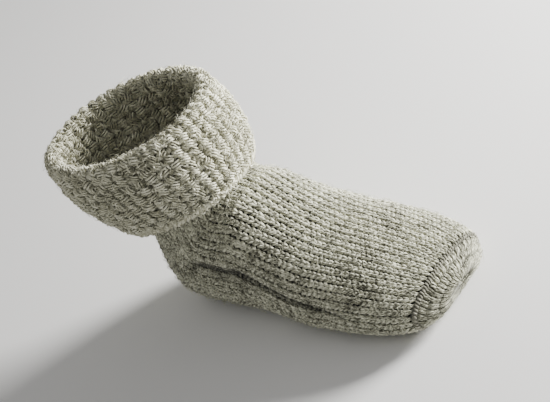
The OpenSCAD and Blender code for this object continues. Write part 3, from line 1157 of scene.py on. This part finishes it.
class Finishes:
    """The sock's materials."""

    def __init__(self) -> None:
        """Makes each material once."""
        self.foot = WoolFinish("foot_wool", (0.05, 0.047, 0.031), (0.33, 0.33, 0.24),
                               (0.92, 0.92, 0.73), hollow_shade=0.94, contrast=1.25).material()
        self.pile = WoolFinish("pile_wool", (0.22, 0.21, 0.145), (0.68, 0.67, 0.5),
                               (0.99, 0.98, 0.8), ply=2.4, hollow_shade=0.7, contrast=0.75).material()
        # the toe's yarn is darker than the foot's, as painted shade over the toe cap
        self.toe = WoolFinish("shaded_toe_wool", (0.03, 0.028, 0.018), (0.2, 0.2, 0.14),
                              (0.66, 0.66, 0.51), hollow_shade=0.95, contrast=1.3).material()
        # the seam's yarn is darker than the foot's, as a painted shadow line along the seam
        self.seam = WoolFinish("shaded_seam_wool", (0.04, 0.038, 0.026), (0.17, 0.167, 0.125),
                               (0.48, 0.47, 0.38)).material()
        # the inside is darker than the yarn, as painted shade in the gaps between stitches and inside the
        # sock
        self.inside = InsideFinish("shaded_inside_wool", (0.04, 0.037, 0.026), (0.33, 0.32, 0.25)).material()


class Piece:
    """One finished piece of the sock: its yarn, its inner side, and how it moves."""

    def __init__(self, name: str, yarn: Sequence[Strands], finish: bpy.types.Material, slot: Slot,
                 moves: Body | Bend, inner: bpy.types.Mesh | None = None,
                 inside: bpy.types.Material | None = None) -> None:
        """Makes the piece's object and hides the frame's node that it stands for.

        Args:
            name: The frame's node.
            yarn: Its yarn.
            finish: The yarn's material.
            slot: The record's slot for it; not used.
            moves: The body that it rides on, or a bend, which leaves it in place on no body.
            inner: Its inner side.
            inside: The inner side's material.
        """
        meshes = [strands.mesh(name + "_knit") for strands in yarn if strands.paths]
        if inner:
            meshes.append(inner)
        parts = []
        for mesh in meshes:
            mesh.materials.clear()
            mesh.materials.append(finish)
            mesh.materials.append(inside or finish)
            parts.append(bpy.data.objects.new(name + "_knit", mesh))
            bpy.context.scene.collection.objects.link(parts[-1])
        self.object = parts[0]
        if len(parts) > 1:
            with bpy.context.temp_override(active_object=self.object, object=self.object,
                                           selected_editable_objects=parts):
                bpy.ops.object.join()
        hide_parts(name)
        self._report(name)
        if isinstance(moves, Body):
            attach(self.object, moves.value)
        else:
            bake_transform(self.object)

    def _report(self, node: str) -> None:
        """Logs the piece's number of triangles and how far it stands out of its node's box."""
        low, high = (np.array(corner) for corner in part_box(node))
        points = np.zeros(len(self.object.data.vertices) * 3, np.float32)
        self.object.data.vertices.foreach_get("co", points)
        points = points.reshape(-1, 3)
        proud = max((low - points.min(0)).max(), (points.max(0) - high).max()) / MM
        triangles = sum(len(p.vertices) - 2 for p in self.object.data.polygons)
        log.info("%s: %d triangles, at most %.1f mm outside its node", self.object.name, triangles, proud)


@dataclass
class Foot:
    """Foot, heel and toes: one stockinette tube, with short rows that turn the heel."""

    form: Form
    finishes: Finishes
    wale_count: int = 46
    course_h: float = 3.4       # millimetres between courses on the foot
    heel_courses: int = 28      # courses round the back of the heel
    gauge: Gauge = FOOT_GAUGE
    sole_edge: float = 108.0
    flap_edge: float = 72.0
    heel_turn: float = 1.6
    sole_end: float = 1.2
    seam_half: float = 1.2
    inner_depth: float = 3.1
    inner_wall: float = 1.2
    fibre: float = 4.5          # usual length of a loose fibre, in millimetres
    ball_lead: float = 25.0     # from the ball forward to the end of the band that bends
    ball_band: float = 40.0     # length of that band
    gusset_back: float = 55.0   # from the band's front end back to the gussets' points
    edge_step: float = 3.0      # how much higher the gussets start than the sole's edge, in degrees
    row_waver: float = 2.5      # how much the short rows' ends waver, in degrees
    # angle below which only every fourth or second course of the heel goes round
    short_rows: tuple[tuple[float, int], ...] = ((42.0, 4), (72.0, 2))

    ANKLE_END = 2.0             # station of the ankle's lower edge
    WALES_END = 2.06            # station just past it, which the wales are measured to
    STRIPS = 26                 # strips of backing in one station

    def __post_init__(self) -> None:
        """Works out where the courses lie."""
        f = self.form
        self.wales = Wales(f.shell, 0.0, self.WALES_END, self.wale_count, self.gauge.yarn)
        self.cap = f.station(f.toe_x - f.toe_cap_len)
        self.seam_share = self.seam_half / f.foot_run
        front = f.ball_x + self.ball_lead
        self.toes = f.station(front)
        self.ball = f.station(front - self.ball_band)
        self.gusset = f.station(front - self.gusset_back)
        self.foot_courses = round((1.0 - self.cap) * f.foot_run / self.course_h)
        self.last = self.foot_courses + self.heel_courses

    def place(self, course: Array) -> Array:
        """Returns the stations of courses, counted from the toe seam."""
        foot = self.cap + course / self.foot_courses * (1.0 - self.cap)
        heel = 1.0 + (course - self.foot_courses) / self.heel_courses
        return np.where(course <= self.foot_courses, foot, heel)

    def skip(self, angle: Array) -> Array:
        """Returns how many of the heel's courses one stitch spans.

        Args:
            angle: Angles round the heel, in degrees.

        Returns:
            Numbers of courses.
        """
        lean = np.abs(signed_angle(angle))
        spans = np.ones_like(lean)
        for limit, span in reversed(self.short_rows):
            spans = np.where(lean < limit, float(span), spans)
        return spans

    def reach_of(self, number: int) -> float:
        """Returns the angle, from the front, where a course of the heel starts."""
        heel = max(0, number - self.foot_courses)
        reach = max([0.0] + [limit for limit, span in self.short_rows if heel % span])
        return reach + self.row_waver * math.sin(heel * 1.7) if reach else 0.0

    def upper_edge(self, s: float) -> float:
        """Returns the angle where the upper ends and a gusset or the sole starts."""
        if s <= self.gusset:
            return self.sole_edge
        if s >= self.heel_turn:
            return self.flap_edge
        return lerp(self.sole_edge - self.edge_step, self.flap_edge,
                    (s - self.gusset) / (self.heel_turn - self.gusset))

    def upper(self, s: float) -> tuple[float, float]:
        """Returns the upper's first and last angle at a station."""
        return -self.upper_edge(s), self.upper_edge(s)

    def left_side(self, s: float) -> tuple[float, float]:
        """Returns the left gusset's first and last angle at a station."""
        return self.upper_edge(s), self.sole_edge

    def right_side(self, s: float) -> tuple[float, float]:
        """Returns the right gusset's first and last angle at a station."""
        return FULL_TURN - self.sole_edge, FULL_TURN - self.upper_edge(s)

    def over(self, s: float) -> tuple[float, float]:
        """Returns the first and last angle of what lies above the sole."""
        return -self.sole_edge, self.sole_edge

    def under(self, s: float) -> tuple[float, float]:
        """Returns the sole's first and last angle."""
        return self.sole_edge, FULL_TURN - self.sole_edge

    def back(self, s: float) -> tuple[float, float]:
        """Returns the heel flap's first and last angle."""
        return self.flap_edge, FULL_TURN - self.flap_edge

    def band(self, name: str, low: float, high: float, edge: Callable[[float], tuple[float, float]],
             seed: int, fuzz: int, moves: Body | Bend) -> None:
        """Knits the part of the tube that one of the frame's nodes covers.

        Args:
            name: The node.
            low: Station where it starts.
            high: Station where it ends.
            edge: Gives its first and last angle at a station.
            seed: Seed of its unevenness.
            fuzz: Number of loose fibres on it.
            moves: The body that it rides on, or a bend, which leaves it in place on no body.
        """
        fabric = Fabric(self.form.shell, self.wales, self.gauge, seed)
        fabric.shadow = self.form.crease
        count = self.wale_count
        for number in range(0, self.last + 1):
            s = float(self.place(np.array(float(number))))
            if not low - 1e-6 <= s < high - 1e-6:
                continue
            first, last = (self.signed_wale(s, a) for a in edge(s))
            reach = self.reach_of(number)
            start = self.wales.wale_at(s, reach) if reach else 0
            spans = [(first, last)]
            if start:
                spans = [(max(first, k * count + start), min(last, (k + 1) * count - start))
                         for k in (-1, 0)]
            for a, b in spans:
                fabric.course(a, b, lambda turns, rise, n=number: self._rise(turns, rise, n))
        middle = (low + high) / 2.0
        first, last = (self.signed_wale(middle, a) for a in edge(middle))
        fabric.fuzz(low, high, first, last, fuzz, self.fibre)
        inner = backing(self.form.shell, low, high, edge, max(4, round((high - low) * self.STRIPS)),
                        30, self.inner_depth, self.inner_wall, name + "_inner")
        Piece(name, fabric.yarn, self.finishes.foot, Slot.FOOT, moves, inner, self.finishes.inside)

    def signed_wale(self, s: float, angle: float) -> int:
        """Returns the nearest wale to any angle."""
        whole, rest = divmod(angle, FULL_TURN)
        return self.wales.wale_at(s, rest) + int(whole) * self.wale_count

    def _rise(self, turns: Array, rise: Array, number: int) -> Array:
        """Returns the stations of a course's points.

        Args:
            turns: The points, in wales.
            rise: How far they lie from the course's middle, in courses.
            number: The course, counted from the toe seam.

        Returns:
            Stations.
        """
        s = self.place(np.full_like(turns, float(number)))
        spans = self.skip(self.wales.angle(s, turns))
        moved = number + rise
        beyond = np.where(number > self.foot_courses, rise * spans, (moved - self.foot_courses) * spans)
        base = number if number > self.foot_courses else self.foot_courses
        in_heel = np.where(number > self.foot_courses, True, moved > self.foot_courses)
        return self.place(np.where(in_heel, base + beyond, moved))

    def build(self) -> None:
        """Knits the foot, the heel and the toes up to the toe seam."""
        end, turn, seam = self.ANKLE_END, self.heel_turn, self.cap + self.seam_share
        for name, low, high, edge, seed, fuzz, moves in (
                ("instep", self.ball, end, self.upper, 11, 900, Bend.ANKLE),
                ("heel_flap", turn, end, self.back, 12, 500, Bend.ANKLE),
                ("heel_cup", self.sole_end, turn, self.under, 13, 300, Body.FOOT),
                ("gusset_left", self.gusset, turn, self.left_side, 14, 200, Body.FOOT),
                ("gusset_right", self.gusset, turn, self.right_side, 15, 200, Body.FOOT),
                ("sole", self.ball, self.sole_end, self.under, 16, 200, Body.FOOT),
                ("ball_upper", self.toes, self.ball, self.over, 17, 500, Bend.BALL),
                ("ball_sole", self.toes, self.ball, self.under, 18, 150, Bend.BALL),
                ("toe_upper", seam, self.toes, self.over, 19, 500, Body.TOE),
                ("toe_sole", seam, self.toes, self.under, 20, 150, Body.TOE)):
            self.band(name, low, high, edge, seed, fuzz, moves)


@dataclass
class ToeCap:
    """The band that closes the toe, the seam behind it and the last stitches at its tip."""

    foot: Foot
    courses: int = 3
    wale_count: int = 36
    gauge: Gauge = TOE_GAUGE
    shear: float = 0.9          # lean of its stitches, in wales for each course
    first_rise: float = 0.45    # how far below its number a course lies, in courses
    fuzz: int = 60
    fibre: float = 3.0
    wall_depth: float = 2.4
    wall: float = 1.2
    tip_gap: float = 0.05
    seam_twists: int = 40
    seam_yarn: float = 0.85
    seam_swing: float = 0.7
    seam_spread: float = 0.8
    seam_depth: float = 1.0
    seam_wall_depth: float = 2.0
    seam_wall: float = 1.6
    stitch_len: float = 4.0     # length of one twist of the closing strands
    stitch_yarn: float = 0.85
    stitch_out: float = 0.6
    stitch_up: float = 0.9
    stitch_back: float = 0.2

    def build(self) -> None:
        """Knits the cap, lays the seam and closes the tip."""
        form, finishes, cap = self.foot.form, self.foot.finishes, self.foot.cap
        tip = form.station(form.toe_x - self.tip_gap)
        end = cap - self.foot.seam_share
        wales = Wales(form.shell, tip, cap + 0.02, self.wale_count, 1.0)
        places = even_places(form.shell, tip, end, 0.0, self.courses)
        numbers = np.arange(self.courses + 1.0)
        half = self.wale_count // 4
        degrees = FULL_TURN / self.wale_count
        for name, first, last, seed in (("toe_cap_top", -half, half, 31),
                                        ("toe_cap_under", half, 3 * half, 32)):
            fabric = Fabric(form.shell, wales, self.gauge, seed)
            for number in range(1, self.courses + 1):
                fabric.course(first, last, lambda turns, rise, n=number: np.interp(
                    n - self.first_rise + rise, numbers, places), self.shear)
            fabric.fuzz(tip, end, first, last, self.fuzz, self.fibre)
            inner = backing(form.shell, tip, end, lambda s, a=first, b=last: (a * degrees, b * degrees),
                            8, 24, self.wall_depth, self.wall, name + "_inner")
            Piece(name, fabric.yarn, finishes.toe, Slot.FOOT, Body.TOE, inner, finishes.inside)
        wales = Wales(form.shell, tip, cap + 0.1, self.foot.wale_count, 1.0)
        seam = Fabric(form.shell, wales, self.gauge, 33)
        seam.twisted_ring(cap, self.seam_spread / form.foot_run, self.seam_twists, self.seam_yarn,
                          self.seam_swing, self.seam_depth)
        inner = backing(form.shell, end, cap + self.foot.seam_share, all_round, 2, 60,
                        self.seam_wall_depth, self.seam_wall, "toe_seam_inner")
        Piece("toe_seam", seam.yarn, finishes.seam, Slot.SEAM, Body.TOE, inner, finishes.inside)
        Piece("toe_closing", (self.closing_stitches(),), finishes.toe, Slot.SEAM, Body.TOE)

    def closing_stitches(self) -> Strands:
        """Returns the two twisted strands that draw the last stitches together across the tip."""
        low, high = (np.array(corner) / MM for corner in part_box("toe_closing"))
        middle = (low + high) / 2.0
        share = np.linspace(0.0, 1.0, 121)
        twists = round((high[1] - low[1]) / self.stitch_len)
        strands = Strands()
        for start in (0.0, math.pi):
            phase = share * 2.0 * math.pi * twists + start
            path = np.stack([middle[0] - self.stitch_back + self.stitch_out * np.cos(phase),
                             lerp(low[1], high[1], share),
                             middle[2] + self.stitch_up * np.sin(phase)], -1)
            # painted shade: each strand is drawn darker where it turns back into the tip
            strands.add(path, self.stitch_yarn, 0.3 - 0.3 * np.cos(phase), 0.4)
        return strands


@dataclass(frozen=True)
class CuffLayer:
    """One layer of the cuff's loop pile, with lengths in millimetres."""

    name: str
    courses: int
    low: float                  # where it starts along its surface
    across: float               # its length from there to its other edge
    seed: int
    spacing: float              # distance between its curls
    fuzz: int                   # number of loose fibres
    wall_depth: float           # depth of its backing
    moves: Body | Bend
    turn_out: float = 1.0       # 1 where its surface's own directions point out of it, else -1


@dataclass
class Leg:
    """Ankle tube and the thick cuff, which is folded down over it."""

    form: Form
    finishes: Finishes
    wale_count: int = 46
    ankle_courses: int = 5
    gauge: Gauge = PILE_GAUGE
    coil_yarn: float = 0.55
    coil_half: float = 2.75     # half the width of a coil
    coil_depth: float = 2.3
    curl_r: float = 1.4
    curl_yarn: float = 0.5
    curl_depth: float = 1.0
    fibre: float = 4.0
    wall: float = 1.2
    ankle_wall_depth: float = 3.1
    pick_up_yarn: float = 1.3   # the ring of yarn that joins the lining to the ankle
    pick_up_swing: float = 0.5
    pick_up_depth: float = 2.2
    edge_yarn: float = 1.5
    edge_swing: float = 1.0
    edge_curl_gap: float = 3.1
    edge_curl_r: float = 1.6
    edge_curl_yarn: float = 0.62
    edge_curl_depth: float = 1.2

    STRIPS_ROUND = 60
    EDGE_MIDDLE, EDGE_SPREAD = 0.45, 0.32   # the edge's middle and swing, as shares of its height

    def layer(self, layer: CuffLayer, surface: Surface) -> None:
        """Knits one layer of the cuff.

        Args:
            layer: Its sizes.
            surface: The surface that it follows, up to place 1.
        """
        low, out = layer.low, layer.turn_out
        fabric = Fabric(surface, Wales(surface, low, 1.0, self.wale_count, 2.0), self.gauge, layer.seed)
        fabric.rows = layer.courses
        for number in range(layer.courses):
            fabric.course(0, self.wale_count, lambda turns, rise, n=number: lerp(
                low, 1.0, (n + 0.5 + rise) / layer.courses))
        fabric.coils(low, 1.0, self.coil_yarn, self.coil_half, self.coil_depth, out)
        fabric.curls(low, 1.0, layer.spacing, layer.across, self.curl_r, self.curl_yarn,
                     self.curl_depth, out)
        fabric.fuzz(low, 1.0, 0, self.wale_count, layer.fuzz, self.fibre, out)
        inner = backing(surface, low, 1.0, all_round, 12, self.STRIPS_ROUND, layer.wall_depth,
                        self.wall * out, layer.name + "_inner")
        Piece(layer.name, fabric.yarn, self.finishes.pile, Slot.PILE, layer.moves, inner,
              self.finishes.inside)

    def ankle(self) -> None:
        """Knits the ankle tube, with the ring of yarn that the lining is picked up on."""
        surface = self.form.ankle
        fabric = Fabric(surface, Wales(surface, 0.0, 1.0, self.wale_count, 1.3), FOOT_GAUGE, 41)
        for number in range(self.ankle_courses):
            fabric.course(0, self.wale_count, lambda turns, rise, n=number: (
                n + 0.5 + rise) / self.ankle_courses)
        fabric.twisted_ring(1.0, 0.0, self.wale_count // 2, self.pick_up_yarn, self.pick_up_swing,
                            self.pick_up_depth)
        inner = backing(surface, 0.0, 1.0, all_round, 8, self.STRIPS_ROUND, self.ankle_wall_depth,
                        self.wall, "ankle_tube_inner")
        Piece("ankle_tube", fabric.yarn, self.finishes.foot, Slot.FOOT, Bend.ANKLE, inner,
              self.finishes.inside)

    def edge(self, share: float) -> None:
        """Binds off the turned-down layer's lower edge, which is a share of the cuff high."""
        surface = self.form.cuff
        fabric = Fabric(surface, Wales(surface, 0.0, 1.0, self.wale_count, 2.0), self.gauge, 45)
        fabric.twisted_ring(share * self.EDGE_MIDDLE, share * self.EDGE_SPREAD, self.wale_count,
                            self.edge_yarn, self.edge_swing, self.form.pile / 2.0)
        fabric.curls(0.0, share, self.edge_curl_gap, self.form.edge_h, self.edge_curl_r,
                     self.edge_curl_yarn, self.edge_curl_depth)
        Piece("cuff_edge", fabric.yarn, self.finishes.pile, Slot.PILE, Bend.ANKLE)

    def build(self) -> None:
        """Knits the ankle and the cuff."""
        form = self.form
        share = form.edge_h / form.cuff_h
        self.ankle()
        self.layer(CuffLayer("cuff_turnover", 9, share, 51.0, 42, 4.8, 1300, 4.2, Bend.ANKLE), form.cuff)
        self.layer(CuffLayer("cuff_fold", 3, 0.0, 19.6, 43, 4.0, 700, 3.6, Body.LEG), form.fold)
        self.layer(CuffLayer("cuff_lining", 8, 0.0, 45.0, 44, 5.6, 500, 3.6, Bend.ANKLE, -1.0),
                   form.lining)
        self.edge(share)


@dataclass(frozen=True)
class Studio:
    """Pale floor, soft light and the camera."""

    azimuth: float = 47.44
    elevation: float = 31.47
    roll: float = 25.47
    distance: float = 1.3142
    aim_across: float = -0.02155
    aim_up: float = 0.05136
    lens_mm: float = 134.63
    sensor_mm: float = 36.0
    floor_half: float = 4.0
    floor_tone: float = 0.94
    room_light: float = 0.34
    room_colour: tuple[float, float, float] = (1.0, 0.99, 0.97)
    key_watts: float = 57.0
    key_size: float = 0.4
    key_distance: float = 1.1
    key_way: tuple[float, float, float] = (1.0, 0.95, 0.05)     # camera's right, up and forward
    key_colour: tuple[float, float, float] = (1.0, 0.985, 0.95)
    sock_middle: tuple[float, float, float] = (0.0, 0.0, 0.05)

    def axes(self) -> tuple[Vector, Vector, Vector]:
        """Returns the camera's right, up and forward directions."""
        a, e, r = (math.radians(v) for v in (self.azimuth, self.elevation, self.roll))
        right = Vector((math.cos(a), math.sin(a), 0.0))
        forward = Vector((-math.sin(a) * math.cos(e), math.cos(a) * math.cos(e), -math.sin(e)))
        up = right.cross(forward)
        return (right * math.cos(r) - up * math.sin(r), right * math.sin(r) + up * math.cos(r), forward)

    def camera(self) -> None:
        """Adds the camera."""
        right, up, forward = self.axes()
        data = bpy.data.cameras.new("camera")
        data.sensor_width = self.sensor_mm
        data.lens = self.lens_mm
        camera = bpy.data.objects.new("camera", data)
        turn = Matrix((right, up, -forward)).transposed().to_4x4()
        place = right * self.aim_across + up * self.aim_up - forward * self.distance
        camera.matrix_world = Matrix.Translation(place) @ turn
        bpy.context.scene.collection.objects.link(camera)
        bpy.context.scene.camera = camera

    def key_light(self) -> None:
        """Adds the soft light, which faces the sock from the camera's upper right."""
        data = bpy.data.lights.new("key_light", "AREA")
        data.shape, data.size = "DISK", self.key_size
        data.energy, data.color = self.key_watts, self.key_colour
        middle = Vector(self.sock_middle)
        way = sum((axis * share for axis, share in zip(self.axes(), self.key_way)), Vector())
        place = middle + way.normalized() * self.key_distance
        light = bpy.data.objects.new("key_light", data)
        turn = (middle - place).to_track_quat("-Z", "Y").to_matrix().to_4x4()
        light.matrix_world = Matrix.Translation(place) @ turn
        bpy.context.scene.collection.objects.link(light)

    def floor(self) -> None:
        """Adds the floor."""
        bm = bmesh.new()
        bmesh.ops.create_grid(bm, x_segments=1, y_segments=1, size=self.floor_half)
        mesh = bpy.data.meshes.new("floor")
        bm.to_mesh(mesh)
        bm.free()
        floor = bpy.data.objects.new("floor", mesh)
        bpy.context.scene.collection.objects.link(floor)
        shader = Shader("floor_paint")
        shader.feed(shader.surface.inputs["Base Color"], (*(self.floor_tone,) * 3, 1.0))
        shader.feed(shader.surface.inputs["Roughness"], 0.9)
        floor.data.materials.append(shader.material)

    def build(self) -> None:
        """Adds the floor, the light of the room, the key light and the camera."""
        self.floor()
        world = bpy.data.worlds.new("studio")
        world.use_nodes = True
        background = world.node_tree.nodes["Background"]
        background.inputs["Color"].default_value = (*self.room_colour, 1.0)
        background.inputs["Strength"].default_value = self.room_light
        bpy.context.scene.world = world
        self.key_light()
        self.camera()


def main() -> None:
    """Builds the studio and the sock, and notes the sizes."""
    logging.basicConfig(level=logging.INFO, format="%(name)s %(message)s")
    Studio().build()
    form = form_of_frame()
    finishes = Finishes()
    foot = Foot(form, finishes)
    foot.build()
    ToeCap(foot).build()
    Leg(form, finishes).build()


if __name__ == "__main__":
    main()
